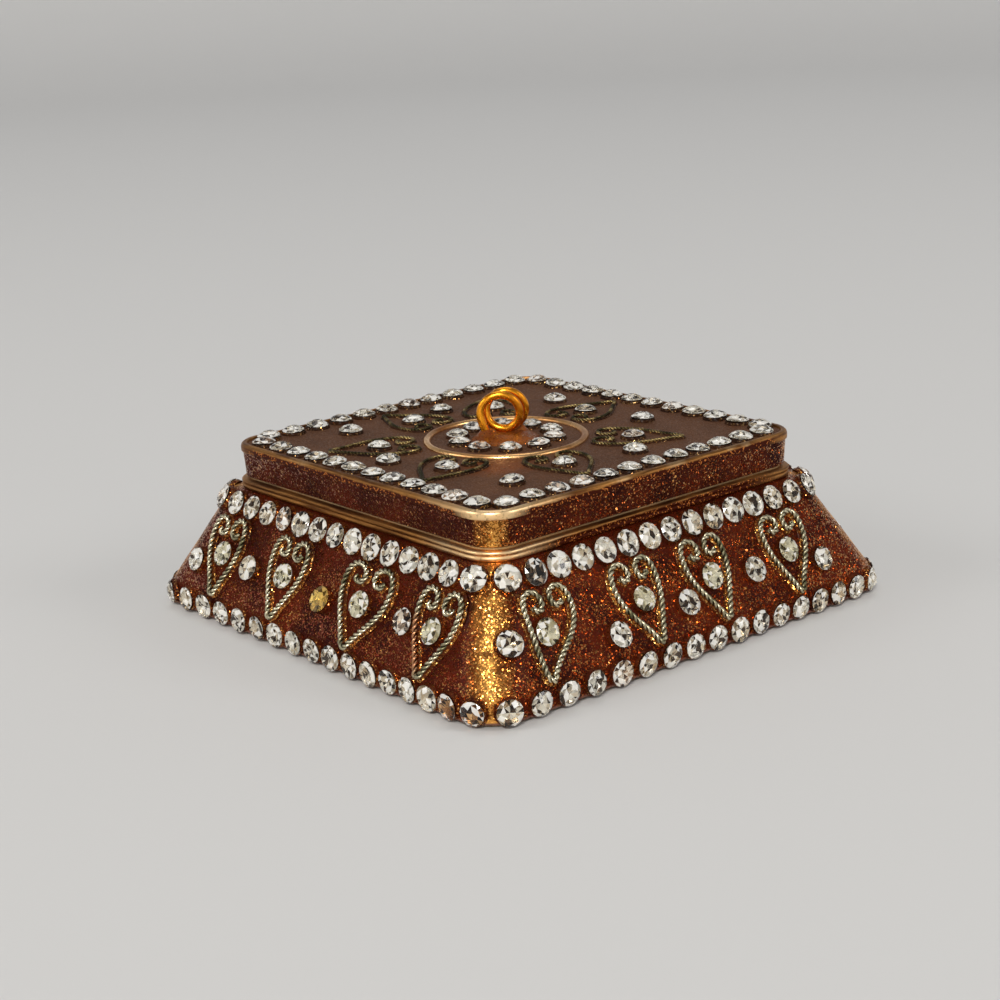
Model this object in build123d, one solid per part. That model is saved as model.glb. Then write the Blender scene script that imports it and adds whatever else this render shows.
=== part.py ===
from build123d import *
import os
from math import atan2, ceil, cos, degrees, floor, pi, radians, sin, sqrt

# Lac-coated jewelry casket: a flared square box of sheet metal with a loose lift-off lid.
# Millimetres, +Z up, origin in the middle of the bottom, sides square to X and Y.
# The right side is +X, the back +Y, the left -X and the front -Y.

# Skirt, measured over the lac: an upright edge that holds a row of stones, a straight flare and
# a narrow shoulder
base_side = 76.0
base_corner_radius = 6.0
base_edge_height = 4.0
skirt_height = 17.2
skirt_flare = 7.0
skirt_top_corner_radius = 5.5
shoulder_width = 1.1
shoulder_rise = 0.5

# Sheet metal of the box, and the lac on it
sheet = 0.6
shoulder_sheet = 0.45
lac = 1.0
lac_foot_gap = 0.4
base_plate_thickness = 0.8

# Brass mouth band of two beads, and the collar inside it that locates the lid
mouth_corner_radius = 5.0
mouth_band_height = 1.4
mouth_band_depth = 1.4
mouth_band_step = 0.3
bead_bulge = 0.3
collar_sheet = 0.45
collar_rise = 2.8
lid_clearance = 0.4

# Lid: a shallow sheet-metal pan turned upside down, coated with lac and edged with brass
lid_inside_depth = 3.95
lid_sheet = 0.45
lid_plate_thickness = 0.5
lid_side_lac = 0.45
lid_side_flare = 0.25
lid_lac_gap = 0.3
lid_top_lac = 0.45
edging_height = 1.25
edging_proud = 0.25
edging_lip = 0.35
edging_round = 0.35

# Flat-backed faceted stones
stone_diameter = 3.7
lid_stone_diameter = 3.5
centre_stone_diameter = 3.3
stone_girdle = 0.35
stone_crown = 1.0
stone_crown_taper = 42.0
stone_facets = 8

# Rows of stones: the height of the centres on the skirt, the gap from stone to stone, and how
# far the hand-set bottom rows drift along their sides in the middle
bottom_row_height = 2.15
bottom_row_gap = 0.5
bottom_row_drifts = {"right": 2.0, "front": 1.9}
top_row_below_edge = 1.0
top_row_gap = 0.2
lid_row_gap = 0.8
lid_row_inset = 0.05

# Hearts of twisted wire on the skirt, with a stone in each and single stones between them
heart_wire = 1.0
heart_widths = {"right": (8.8, 8.8, 8.8, 8.8), "front": (8.6, 8.8, 11.0, 8.8)}
heart_row_gap = 0.15
heart_stone_gap = 0.4
bed_gap = 0.01

# Shape of a heart, as shares of its width and height: the bend at its point, and the places
# of its lobe from the outermost, over the top and round the curled end
heart_point_width_share = 0.09
heart_point_height_share = 0.075
heart_leg_bow_angle = 4.0
heart_curl_share = 0.78
heart_lobe_shares = ((0.5, 0.77), (0.29, 1.0), (0.1, 0.88), (0.2, heart_curl_share), (0.3, 0.84))

# Places of the hand-set hearts and single stones along a side, as shares of half its length,
# how far the point of each heart lies to one side, and the heights of the single stones
heart_places = {"right": (-0.64, -0.24, 0.10, 0.52), "front": (-0.62, -0.21, 0.26, 0.65)}
heart_leans = {"right": (-3.0, 0.8, 0.6, -0.4), "front": (0.4, -0.3, -0.9, -0.1)}
single_places = {"right": (-0.83, -0.385, -0.04, 0.32, 0.67), "front": (-0.77, -0.435, 0.03, 0.495)}
single_heights = {"right": (9.3, 6.5, 7.4, 8.5, 7.1), "front": (7.7, 8.9, 8.4, 9.4)}
amber_index = 2

# Pattern on the lid round a centre that lies a little towards the front
pattern_centre_y = -1.0
ring_outer_radius = 12.0
ring_wire = 1.1
centre_stone_count = 10
centre_row_radius = 7.2
lid_heart_width = 10.0
lid_heart_gap = 0.5
lid_heart_reach = 26.0
lid_heart_angles = (-120.0, -67.0, -15.0, 40.0, 98.0, 145.0, 189.0)
lid_single_angles = (-147.0, -96.0, -39.0, 18.0, 69.0, 120.0, 168.0)
lid_single_shares = (0.73, 0.72, 0.68, 0.68, 0.64, 0.68, 0.68)

# Wire eye in the middle of the lid: one wire coiled about a turn and a half
eye_wire = 1.2
eye_turn_radius = 2.62
eye_turn_depth = 1.8
eye_turn_side = 0.7
eye_turn_rise = 0.15
eye_first_side = -0.9
eye_first_depth = -0.8
eye_first_angle = 200.0
eye_last_angle = -400.0
eye_first_leg_inset = 0.7
eye_last_leg_inset = 0.8
eye_leg_height = 0.6
eye_turned = 45.0
eye_seat_radius = 4.9
eye_seat_height = 0.5
eye_seat_gap = 0.05
eye_hole_clearance = 0.45
eye_bend_radius = 1.25
eye_clinch = 1.6
eye_clinch_gap = 0.05

# Half sides, from the outside in
base_half = base_side / 2
skirt_top_half = base_half - skirt_flare
shoulder_half = skirt_top_half - shoulder_width
mouth_half = shoulder_half - mouth_band_step
neck_half = mouth_half - mouth_band_depth
collar_half = neck_half - sheet
lid_inner_half = collar_half + lid_clearance
lid_wall_half = lid_inner_half + lid_sheet
lid_lac_half = lid_wall_half + lid_side_lac
edging_half = lid_lac_half + lid_side_flare + edging_proud
mouth_corner_centre = mouth_half - mouth_corner_radius

# Levels, from the bottom up
band_bottom = skirt_height + shoulder_rise
rim_top = band_bottom + mouth_band_height
lid_plate_bottom = rim_top + lid_inside_depth
lid_plate_top = lid_plate_bottom + lid_plate_thickness
lid_top = lid_plate_top + lid_top_lac
edging_top = lid_top + edging_lip
edging_bottom = edging_top - edging_height

# Slopes of the flared skirt: how its half side and its corner radius change with height
skirt_run = skirt_height - base_edge_height
half_slope = -skirt_flare / skirt_run
radius_slope = (skirt_top_corner_radius - base_corner_radius) / skirt_run
slope_length = sqrt(1 + half_slope ** 2)

side_turns = {"right": 0, "back": 90, "left": 180, "front": 270}
side_layouts = {"right": "right", "back": "front", "left": "right", "front": "front"}
lid_centre = Vector(0, pattern_centre_y, 0)
standing = (Align.CENTER, Align.CENTER, Align.MIN)
in_line = 1 - 1e-9


def rounded_square(half, radius, z):
    """A square with rounded corners, flat at one height."""
    return Plane.XY.offset(z) * RectangleRounded(2 * half, 2 * half, radius)


def stacked(levels):
    """A solid through rounded squares given as height, half side and corner radius."""
    return loft([rounded_square(half, radius, z) for z, half, radius in levels], ruled=True)


def mouth_prism(half, bottom, top):
    """An upright block whose corners share the centres of the mouth's corners."""
    face = rounded_square(half, half - mouth_corner_centre, bottom)
    return extrude(face, top - bottom)


def mouth_path(half):
    """A closed path round the mouth, from the middle of the right side."""
    centre = mouth_corner_centre
    reach = centre + (half - centre) * sqrt(0.5)
    edges = []
    for turn in (0, 90, 180, 270):
        spin = Rot(Z=turn)
        edges.append(spin * Edge.make_line((half, 0), (half, centre)))
        edges.append(spin * Edge.make_three_point_arc((half, centre), (reach, reach), (centre, half)))
        edges.append(spin * Edge.make_line((centre, half), (0, half)))
    return Wire(edges)


def on_flare(z):
    """How far a height lies above the upright edge, or zero on the edge itself."""
    return max(z - base_edge_height, 0.0)


def skirt_half(z):
    """Half side of the lac's outer face at a height."""
    return base_half + half_slope * on_flare(z)


def skirt_radius(z):
    """Corner radius of the lac's outer face at a height."""
    return base_corner_radius + radius_slope * on_flare(z)


def slope_distance(z):
    """Distance up the skirt's face from the flare's lower edge to a height, negative below it."""
    if z < base_edge_height:
        return z - base_edge_height
    return (z - base_edge_height) * slope_length


def outline_length(half, radius):
    """Length of one side of a rounded square, from corner middle to corner middle."""
    return 2 * (half - radius) + radius * pi / 2


def outline_point(along, half, radius):
    """Point on the right side of a rounded square, and the angle of its outward normal."""
    straight = half - radius
    if abs(along) <= straight:
        return half, along, 0.0
    side = 1 if along > 0 else -1
    angle = (abs(along) - straight) / radius
    x = straight + radius * cos(angle)
    y = side * (straight + radius * sin(angle))
    return x, y, side * angle


def skirt_plane(along, z):
    """Plane lying on the right side of the skirt, its Y axis pointing up the face."""
    x, y, angle = outline_point(along, skirt_half(z), skirt_radius(z))
    centre_slope = half_slope - radius_slope
    lean = -(centre_slope * (cos(angle) + abs(sin(angle))) + radius_slope)
    normal = (cos(angle), sin(angle), lean if z > base_edge_height else 0.0)
    return Plane(origin=(x, y, z), x_dir=(-sin(angle), cos(angle), 0), z_dir=normal)


def stone(diameter):
    """A stone on its flat back: a faceted girdle and a tapering crown with a flat table."""
    girdle = extrude(RegularPolygon(diameter / 2, stone_facets), stone_girdle)
    top = Plane.XY.offset(stone_girdle) * RegularPolygon(diameter / 2, stone_facets)
    return girdle + extrude(top, stone_crown, taper=stone_crown_taper)


def row_places(half, radius, pitch, drift=0.0):
    """Places along one side for as many stones as the pitch allows, even or drifting in the middle."""
    length = outline_length(half, radius)
    count = floor(length / pitch)
    even = [(i - (count - 1) / 2) * length / count for i in range(count)]
    return [along + drift * cos(pi * along / length) for along in even]


def set_on_skirt(piece, places, turn):
    """Copies of a piece on one side of the skirt, at places given as along and height."""
    return [Rot(Z=turn) * skirt_plane(along, z).location * piece for along, z in places]


def biarc(start, start_way, end, end_way):
    """Two arcs that leave start and reach end in the given directions."""
    chord = end - start
    ways = start_way + end_way
    spread = 1 - start_way.dot(end_way)
    lean = chord.dot(ways)
    if spread < 1 - in_line:
        reach = chord.dot(chord) / (2 * lean)
    else:
        reach = (sqrt(lean ** 2 + 2 * spread * chord.dot(chord)) - lean) / (2 * spread)
    first = start + start_way * reach
    last = end - end_way * reach
    middle = (first + last) * 0.5
    return [Edge.make_tangent_arc(start, start_way, middle),
            Edge.make_tangent_arc(middle, last - first, end)]


def wire_path(knots):
    """A smooth path through knots given as a point and a direction, straight where they line up."""
    edges = []
    for (start, start_way), (end, end_way) in zip(knots, knots[1:]):
        chord = (end - start).normalized()
        if min(chord.dot(start_way), chord.dot(end_way)) > in_line:
            edges.append(Edge.make_line(start, end))
        else:
            edges += biarc(start, start_way, end, end_way)
    return Wire(edges)


def wire_tube(path, diameter):
    """Round wire along a path."""
    section = Plane(origin=path @ 0, z_dir=path % 0) * Circle(diameter / 2)
    return sweep(section, path=path)


def least_gap(path, diameter):
    """Least gap between one stretch of the wire and another, measured on points."""
    count = ceil(path.length / (diameter / 4))
    points = [path @ (i / count) for i in range(count + 1)]
    skip = ceil(3 * diameter / (path.length / count))
    gaps = [(points[i] - points[j]).length for i in range(count) for j in range(i + skip, count + 1)]
    return min(gaps) - diameter


def heart_lobe(width, height, diameter, lean, side):
    """Knots of half a heart, from its point up the leg and round the lobe, for side 1 or -1."""
    across = width - diameter
    up = height - diameter
    point = [(lean, 0), (lean + side * heart_point_width_share * across, heart_point_height_share * up)]
    lobe = [(side * x * across, y * up) for x, y in heart_lobe_shares]
    leg = Vector(*lobe[0]) - Vector(*point[1])
    leg_angle = degrees(atan2(leg.Y, side * leg.X)) - heart_leg_bow_angle
    angles = (0, leg_angle, 90, 180, 270, 360, 440)
    return [(Vector(x, y), Vector(cos(radians(angle)), side * sin(radians(angle))))
            for (x, y), angle in zip(point + lobe, angles)]


def heart(width, height, diameter, lean=0.0):
    """A bent wire heart standing on its point: two legs, two lobes, ends curled inwards."""
    right = heart_lobe(width, height, diameter, lean, 1)
    left = heart_lobe(width, height, diameter, lean, -1)
    path = wire_path(left[:0:-1] + right)
    return Pos(0, diameter / 2, diameter / 2 + bed_gap) * wire_tube(path, diameter), path


def heart_stone_up(height, diameter, stone_size):
    """Height in a heart of the middle of its stone, which lies just below the curled ends."""
    curl_bottom = heart_curl_share * (height - diameter)
    return curl_bottom - stone_size / 2 - heart_stone_gap


def body_wall():
    """Flared sheet-metal wall with a neck at the mouth."""
    outer_base = base_half - lac
    outer_top = skirt_top_half - lac
    neck_radius = neck_half - mouth_corner_centre
    outer = stacked([
        (0, outer_base, base_corner_radius - lac),
        (base_edge_height, outer_base, base_corner_radius - lac),
        (skirt_height, outer_top, skirt_top_corner_radius - lac),
        (band_bottom, neck_half, neck_radius),
        (rim_top, neck_half, neck_radius),
    ])
    bend = skirt_height - shoulder_sheet
    inner = stacked([
        (0, outer_base - sheet, base_corner_radius - lac - sheet),
        (base_edge_height, outer_base - sheet, base_corner_radius - lac - sheet),
        (bend, skirt_half(bend) - lac - sheet, skirt_radius(bend) - lac - sheet),
        (band_bottom - shoulder_sheet, collar_half, neck_radius - sheet),
        (rim_top, collar_half, neck_radius - sheet),
    ])
    return outer - inner


def base_plate():
    """Floor of the box, let into the foot of the wall."""
    half = base_half - lac - sheet
    return extrude(rounded_square(half, base_corner_radius - lac - sheet, 0), base_plate_thickness)


def skirt_lac():
    """Lac coat over the flared wall and its shoulder, open at the foot and the neck."""
    neck_radius = neck_half - mouth_corner_centre
    outer = stacked([
        (lac_foot_gap, base_half, base_corner_radius),
        (base_edge_height, base_half, base_corner_radius),
        (skirt_height, skirt_top_half, skirt_top_corner_radius),
        (band_bottom, shoulder_half, shoulder_half - mouth_corner_centre),
    ])
    inner = stacked([
        (lac_foot_gap, base_half - lac, base_corner_radius - lac),
        (base_edge_height, base_half - lac, base_corner_radius - lac),
        (skirt_height, skirt_top_half - lac, skirt_top_corner_radius - lac),
        (band_bottom, neck_half, neck_radius),
    ])
    return outer - inner


def mouth_band():
    """Brass strip round the neck, with two rounded beads and a groove between them."""
    bead = mouth_band_height / 2
    flat = mouth_band_depth - bead_bulge
    points = [(0, 0), (flat, 0), (mouth_band_depth, bead / 2), (flat, bead),
              (mouth_band_depth, 1.5 * bead), (flat, 2 * bead), (0, 2 * bead)]
    p = [Vector(neck_half + x, 0, band_bottom + z) for x, z in points]
    edges = [Edge.make_line(p[0], p[1]),
             Edge.make_three_point_arc(p[1], p[2], p[3]),
             Edge.make_three_point_arc(p[3], p[4], p[5]),
             Edge.make_line(p[5], p[6]),
             Edge.make_line(p[6], p[0])]
    return sweep(Face(Wire(edges)), path=mouth_path(neck_half))


def locating_collar():
    """Thin brass collar soldered inside the neck, standing up into the lid."""
    bottom = band_bottom - shoulder_sheet
    top = rim_top + collar_rise
    return mouth_prism(collar_half, bottom, top) - mouth_prism(collar_half - collar_sheet, bottom, top)


def eye_hole(side, depth, diameter, bottom, top):
    """Upright round hole for one leg of the eye."""
    drill = Cylinder(diameter / 2, top - bottom, align=standing)
    return eye_frame * Pos(side, depth, bottom) * drill


def eye_holes(clearance, bottom, top):
    """Both leg holes of the eye through what lies between two levels."""
    diameter = eye_wire + 2 * clearance
    return [eye_hole(side, depth, diameter, bottom, top) for side, depth in eye_legs]


def lid_shell():
    """Sheet-metal pan of the lid, its rim resting on the mouth."""
    block = mouth_prism(lid_wall_half, rim_top, lid_plate_top)
    hollow = mouth_prism(lid_inner_half, rim_top, lid_plate_bottom)
    return block - hollow - eye_holes(eye_hole_clearance, lid_plate_bottom, lid_plate_top)


def lid_side_coat():
    """Lac round the side of the lid, a little wider towards the top."""
    outer = stacked([
        (rim_top + lid_lac_gap, lid_lac_half, lid_lac_half - mouth_corner_centre),
        (edging_bottom, lid_lac_half + lid_side_flare, lid_lac_half + lid_side_flare - mouth_corner_centre),
    ])
    return outer - mouth_prism(lid_wall_half, rim_top + lid_lac_gap, edging_bottom)


def lid_top_coat():
    """Lac on top of the lid, level inside the brass edging."""
    coat = mouth_prism(lid_wall_half, lid_plate_top, lid_top)
    return coat - eye_holes(eye_hole_clearance, lid_plate_top, lid_top)


def lid_edging():
    """Brass edging round the top of the lid, rounded over outside."""
    depth = edging_half - lid_wall_half
    points = [(0, 0), (depth, 0), (depth, edging_height - edging_round),
              (depth - edging_round, edging_height), (0, edging_height)]
    p = [Vector(lid_wall_half + x, 0, edging_bottom + z) for x, z in points]
    edges = [Edge.make_line(p[0], p[1]),
             Edge.make_line(p[1], p[2]),
             Edge.make_tangent_arc(p[2], Vector(0, 0, 1), p[3]),
             Edge.make_line(p[3], p[4]),
             Edge.make_line(p[4], p[0])]
    return sweep(Face(Wire(edges)), path=mouth_path(lid_wall_half))


def lid_ring():
    """Half-round brass wire bent into a ring on the lid."""
    radius = ring_wire / 2
    middle = ring_outer_radius - radius
    flat = Edge.make_line((middle - radius, 0, 0), (middle + radius, 0, 0))
    arc = Edge.make_three_point_arc((middle + radius, 0, 0), (middle, 0, radius), (middle - radius, 0, 0))
    return Pos(0, pattern_centre_y, lid_top) * revolve(Face(Wire([flat, arc])), Axis.Z)


def eye_point(angle):
    """Point of the eye's coil at an angle in degrees, and its direction of travel."""
    turns = (eye_first_angle - angle) / 360
    drift = Vector(eye_turn_side, eye_turn_depth, eye_turn_rise)
    a = radians(angle)
    spot = eye_coil_centre + drift * turns + Vector(cos(a), 0, sin(a)) * eye_turn_radius
    way = drift / 360 + Vector(sin(a), 0, -cos(a)) * (eye_turn_radius * pi / 180)
    return spot, way.normalized()


def lid_eye():
    """The eye: a leg up, about a turn and a half of wire, a leg down, both clinched inside."""
    up = Vector(0, 0, 1)
    bend = eye_bend_radius
    clinch_z = lid_plate_bottom - eye_wire / 2 - eye_clinch_gap
    coil = [eye_point(angle) for angle in (eye_first_angle, 90, 0, -90, -180, -270, -360, eye_last_angle)]
    (left, left_depth), (right, right_depth) = eye_legs
    knots = [(Vector(left, left_depth, clinch_z + bend), up),
             (Vector(left, left_depth, lid_top + eye_leg_height), up)]
    knots += coil
    knots += [(Vector(right, right_depth, lid_top + eye_leg_height), -up),
              (Vector(right, right_depth, clinch_z + bend), -up)]
    start = Vector(left - bend - eye_clinch, left_depth, clinch_z)
    end = Vector(right + bend + eye_clinch, right_depth, clinch_z)
    out = Vector(1, 0, 0)
    knots = [(start, out), (start + out * eye_clinch, out)] + knots
    knots += [(end - out * eye_clinch, out), (end, out)]
    path = wire_path(knots)
    print("eye: least gap of the wire to itself", round(least_gap(path, eye_wire), 2), "mm")
    return eye_frame * wire_tube(path, eye_wire)


def eye_seat():
    """Low pad of lac on the lid that beds the foot of the eye."""
    pad = Cylinder(eye_seat_radius, eye_seat_height, align=standing)
    pad = Pos(0, pattern_centre_y, lid_top) * pad
    return pad - eye_holes(eye_seat_gap, lid_top, lid_top + eye_seat_height)


def lid_reach(angle, gap):
    """Radius from the pattern's centre to where a gap is left before the row of edge stones."""
    limit = lid_row_half - lid_stone_diameter / 2 - gap
    x = cos(radians(angle))
    y = sin(radians(angle))
    reach_x = limit / abs(x)
    reach_y = (limit - pattern_centre_y * (1 if y > 0 else -1)) / abs(y)
    return min(reach_x, reach_y)


def lid_single_radius(angle, share):
    """Radius of a single stone that lies a share of the way from the ring to the edge stones."""
    inner = ring_outer_radius + lid_stone_diameter / 2
    outer = lid_reach(angle, lid_stone_diameter / 2)
    return inner + (outer - inner) * share


def on_lid(angle, radius, turn=0.0):
    """Place on top of the lid at an angle and radius from the pattern's centre."""
    a = radians(angle)
    spot = lid_centre + Vector(radius * cos(a), radius * sin(a), lid_top)
    return Location(spot, (0, 0, angle + turn))


def save(name, *pieces):
    """Write one node to its STEP file, as a solid or as a group of solids."""
    solids = [solid for piece in pieces for solid in piece.solids()]
    shape = solids[0] if len(solids) == 1 else Compound(children=solids)
    shape.label = name
    export_step(shape, "parts/" + name + ".step")


def save_box():
    """The metal box, its lac and what stands in its mouth."""
    save("body_wall", body_wall())
    save("base_plate", base_plate())
    save("skirt_lac", skirt_lac())
    save("mouth_band", mouth_band())
    save("locating_collar", locating_collar())


def save_row(side, name, height, gap, drift=0.0):
    """One side's share of a row of stones round the skirt."""
    places = row_places(skirt_half(height), skirt_radius(height), stone_diameter + gap, drift)
    save(side + name, *set_on_skirt(skirt_stone, [(s, height) for s in places], side_turns[side]))


def save_side(side):
    """Rows, hearts, heart stones and single stones of one side of the skirt."""
    turn = side_turns[side]
    layout = side_layouts[side]
    save_row(side, "_bottom_row_stones", bottom_row_height, bottom_row_gap, bottom_row_drifts[layout])
    save_row(side, "_top_row_stones", top_row_height, top_row_gap)
    hearts = zip(heart_places[layout], heart_widths[layout], heart_leans[layout])
    stone_places = []
    for i, (share, width, lean) in enumerate(hearts):
        s = share * base_half
        skirt_heart, path = heart(width, skirt_heart_height, heart_wire, lean)
        save(f"{side}_heart_wire_{i + 1}", *set_on_skirt(skirt_heart, [(s, heart_foot)], turn))
        heart_gaps.append(least_gap(path, heart_wire))
        stone_places.append((s + lean * (1 - heart_stone_rise / skirt_heart_height), heart_stone_z))
    save(side + "_heart_stones", *set_on_skirt(skirt_stone, stone_places, turn))
    singles = [(share * base_half, z) for share, z in zip(single_places[layout], single_heights[layout])]
    if side == "front":
        save("front_amber_stone", *set_on_skirt(skirt_stone, [singles.pop(amber_index)], turn))
    save(side + "_single_stones", *set_on_skirt(skirt_stone, singles, turn))


def save_lid():
    """The lid with its edging, eye, ring, hearts and stones."""
    save("lid_shell", lid_shell())
    save("lid_side_lac", lid_side_coat())
    save("lid_top_lac", lid_top_coat())
    save("lid_edging", lid_edging())
    save("lid_ring", lid_ring())
    save("lid_eye", lid_eye())
    save("lid_eye_seat", eye_seat())
    edge_stone = stone(lid_stone_diameter)
    places = row_places(lid_row_half, lid_row_radius, lid_stone_diameter + lid_row_gap)
    for side, turn in side_turns.items():
        spots = [outline_point(s, lid_row_half, lid_row_radius) for s in places]
        save(f"lid_{side}_edge_stones",
             *[Rot(Z=turn) * Location((x, y, lid_top), (0, 0, degrees(a))) * edge_stone for x, y, a in spots])
    centre_stone = stone(centre_stone_diameter)
    save("lid_centre_stones", *[on_lid(360 * i / centre_stone_count, centre_row_radius) * centre_stone
                                for i in range(centre_stone_count)])
    save("lid_single_stones", *[on_lid(angle, lid_single_radius(angle, share)) * edge_stone
                                for angle, share in zip(lid_single_angles, lid_single_shares)])
    heart_stones = []
    for i, angle in enumerate(lid_heart_angles):
        tip = min(lid_heart_reach, lid_reach(angle, lid_heart_gap))
        height = tip - ring_outer_radius - lid_heart_gap
        wire, path = heart(lid_heart_width, height, heart_wire)
        save(f"lid_heart_wire_{i + 1}", on_lid(angle, tip, 90) * wire)
        heart_gaps.append(least_gap(path, heart_wire))
        rise = heart_stone_up(height, heart_wire, lid_stone_diameter)
        heart_stones.append(on_lid(angle, tip - rise) * edge_stone)
    save("lid_heart_stones", *heart_stones)


os.makedirs("parts", exist_ok=True)

# The eye's own frame: X along the plane of its turns, Y away from the front corner
eye_frame = Pos(0, pattern_centre_y, 0) * Rot(Z=eye_turned)
eye_floor = lid_top + eye_seat_height + eye_seat_gap
eye_coil_centre = Vector(eye_first_side, eye_first_depth, eye_floor + eye_turn_radius + eye_wire / 2)
eye_end = eye_point(eye_last_angle)[0]
eye_legs = [(eye_first_side - eye_turn_radius + eye_first_leg_inset, eye_first_depth),
            (eye_end.X - eye_last_leg_inset, eye_end.Y)]

# The rows of stones and what stands between them on the skirt
lid_row_half = lid_wall_half - lid_row_inset - lid_stone_diameter / 2
lid_row_radius = lid_row_half - mouth_corner_centre
top_row_height = skirt_height - top_row_below_edge
heart_floor = slope_distance(bottom_row_height) + stone_diameter / 2 + heart_row_gap
heart_ceiling = slope_distance(top_row_height) - stone_diameter / 2 - heart_row_gap
heart_foot = base_edge_height + heart_floor / slope_length
skirt_heart_height = heart_ceiling - heart_floor
heart_stone_rise = heart_stone_up(skirt_heart_height, heart_wire, stone_diameter)
heart_stone_z = base_edge_height + (heart_floor + heart_stone_rise) / slope_length

skirt_stone = stone(stone_diameter)
heart_gaps = []

save_box()
for side in side_turns:
    save_side(side)
save_lid()
print("hearts: least gap of the wire to itself", round(min(heart_gaps), 2), "mm")
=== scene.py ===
from math import atan2, cos, degrees, hypot, pi, radians, sin
from random import Random

import bmesh
import bpy
from mathutils import Matrix, Vector, noise
from mathutils.geometry import interpolate_bezier


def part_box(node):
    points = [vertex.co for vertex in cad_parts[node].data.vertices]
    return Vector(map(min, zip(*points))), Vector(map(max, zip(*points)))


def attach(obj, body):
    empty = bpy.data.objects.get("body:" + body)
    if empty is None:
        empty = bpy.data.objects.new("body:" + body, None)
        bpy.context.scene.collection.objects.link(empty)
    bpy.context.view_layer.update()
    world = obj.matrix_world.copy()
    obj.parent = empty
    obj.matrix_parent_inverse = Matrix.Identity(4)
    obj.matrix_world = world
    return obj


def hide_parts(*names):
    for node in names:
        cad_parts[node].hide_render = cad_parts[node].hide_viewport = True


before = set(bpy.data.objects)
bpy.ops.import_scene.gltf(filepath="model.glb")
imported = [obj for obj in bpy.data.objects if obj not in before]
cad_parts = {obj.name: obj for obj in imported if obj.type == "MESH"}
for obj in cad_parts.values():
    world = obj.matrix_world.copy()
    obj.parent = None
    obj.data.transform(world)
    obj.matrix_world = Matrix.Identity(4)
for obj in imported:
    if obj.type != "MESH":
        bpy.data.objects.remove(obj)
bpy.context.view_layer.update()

# Lac-coated jewelry casket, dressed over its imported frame. Metres, +Z up, origin on the ground
# under the middle. The right side is +X, the back +Y, the left -X and the front -Y.
mm = 0.001
hand = Random(7)
UP = Vector((0, 0, 1))
SIDE_TURNS = {"right": 0, "back": 90, "left": 180, "front": 270}

# Camera: lens, orbit round the middle of the bottom, roll and shift of the framing
SENSOR = 36.0
LENS = 68.4
CAMERA_DISTANCE = 281.4 * mm
CAMERA_AROUND = radians(49.9)
CAMERA_ABOVE = radians(15.94)
CAMERA_ROLL = radians(-2.49)
CAMERA_SHIFT = (2.00 * mm, -13.98 * mm)

# Soft rectangular lamps, all at one distance: degrees round from the camera and above the floor,
# width and height in metres, watts and colour
LAMP_DISTANCE = 2.4
LAMPS = {"key": (-8, 36, 0.55, 0.42, 34, (1.0, 0.975, 0.94)),
         "left fill": (-75, 30, 0.8, 0.8, 10, (1, 1, 1)),
         "right fill": (70, 30, 0.8, 0.8, 10, (1, 1, 1)),
         "top": (180, 72, 1.4, 1.4, 8, (1, 1, 1))}

# The floor, which turns up in a low rim far from the casket, as radius and height
FLOOR_PROFILE = ((0.0, 0.0), (0.6, 0.0), (1.2, 0.0), (1.35, 0.012), (1.5, 0.05), (1.62, 0.13),
                 (1.7, 0.26), (1.74, 0.42))

# Levels and half sides read from the frame
coat_low, coat_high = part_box("skirt_lac")
band_low, band_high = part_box("mouth_band")
side_low, side_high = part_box("lid_side_lac")
trim_low, trim_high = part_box("lid_edging")
ring_low, ring_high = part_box("lid_ring")
wall_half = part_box("body_wall")[1].x
plate_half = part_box("lid_top_lac")[1].x
lid_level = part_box("lid_top_lac")[1].z
pattern_centre = Vector((0, (ring_low.y + ring_high.y) / 2, lid_level))

# Skirt outline: corner radii, the edge at the foot and the break at the shoulder
FOOT_RADIUS = 6 * mm
FOOT_EDGE = 3.6 * mm
FOOT_CHAMFER = 0.25 * mm
SHOULDER_RADIUS = 5.5 * mm
SHOULDER_WIDTH = 1.1 * mm
SHOULDER_RISE = 0.5 * mm
BAND_STEP = 0.3 * mm
BAND_DEPTH = 1.4 * mm
NECK_DEPTH = 1.2 * mm
MOUTH_RADIUS = 5 * mm
LAC_THICKNESS = 1.0 * mm
CORNER_SEGMENTS = 10
STRAIGHT_CUTS = 40

# Unevenness of the lac and the brass: how far the surface goes in and out, and over what length
SKIRT_LUMPS = (0.10 * mm, 5 * mm)
LID_SIDE_LUMPS = (0.06 * mm, 4 * mm)
BAND_DENTS = (0.05 * mm, 3 * mm)
EDGING_DENTS = (0.05 * mm, 4 * mm)
PAD_LUMPS = (0.12 * mm, 1.6 * mm)
MOUND_LUMPS = (0.22 * mm, 1.1 * mm)

# Ring on the lid: thickness and waviness of its wire, and how deep it is sunk
RING_WIRE_RADIUS = 0.55 * mm
RING_WAVES = (0.12 * mm, 5 * mm)
RING_SUNK = 0.02 * mm

# Height over the lid where the legs of the eye begin to bend
LEG_TOP = 0.6 * mm

# Twisted wire of the hearts: its thickness in the frame, on the skirt and on the lid, the strands
# and their lay as shares of it, and the steps of one turn of the lay
FRAME_WIRE = 1.0 * mm
SKIRT_WIRE = 0.88 * mm
LID_WIRE = 0.56 * mm
STRAND_SHARE = 0.26
LAY_SHARE = 1.9
LAY_STEPS = 12

# The lac that a heart is pressed into, and how far a heart on the skirt reaches past its own point
HEART_BED_SHARE = 0.8
HEART_BED_HEIGHT = 0.28 * mm
HEART_OVERHANG = 0.45 * mm
HEART_STRETCH = 1.5

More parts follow.
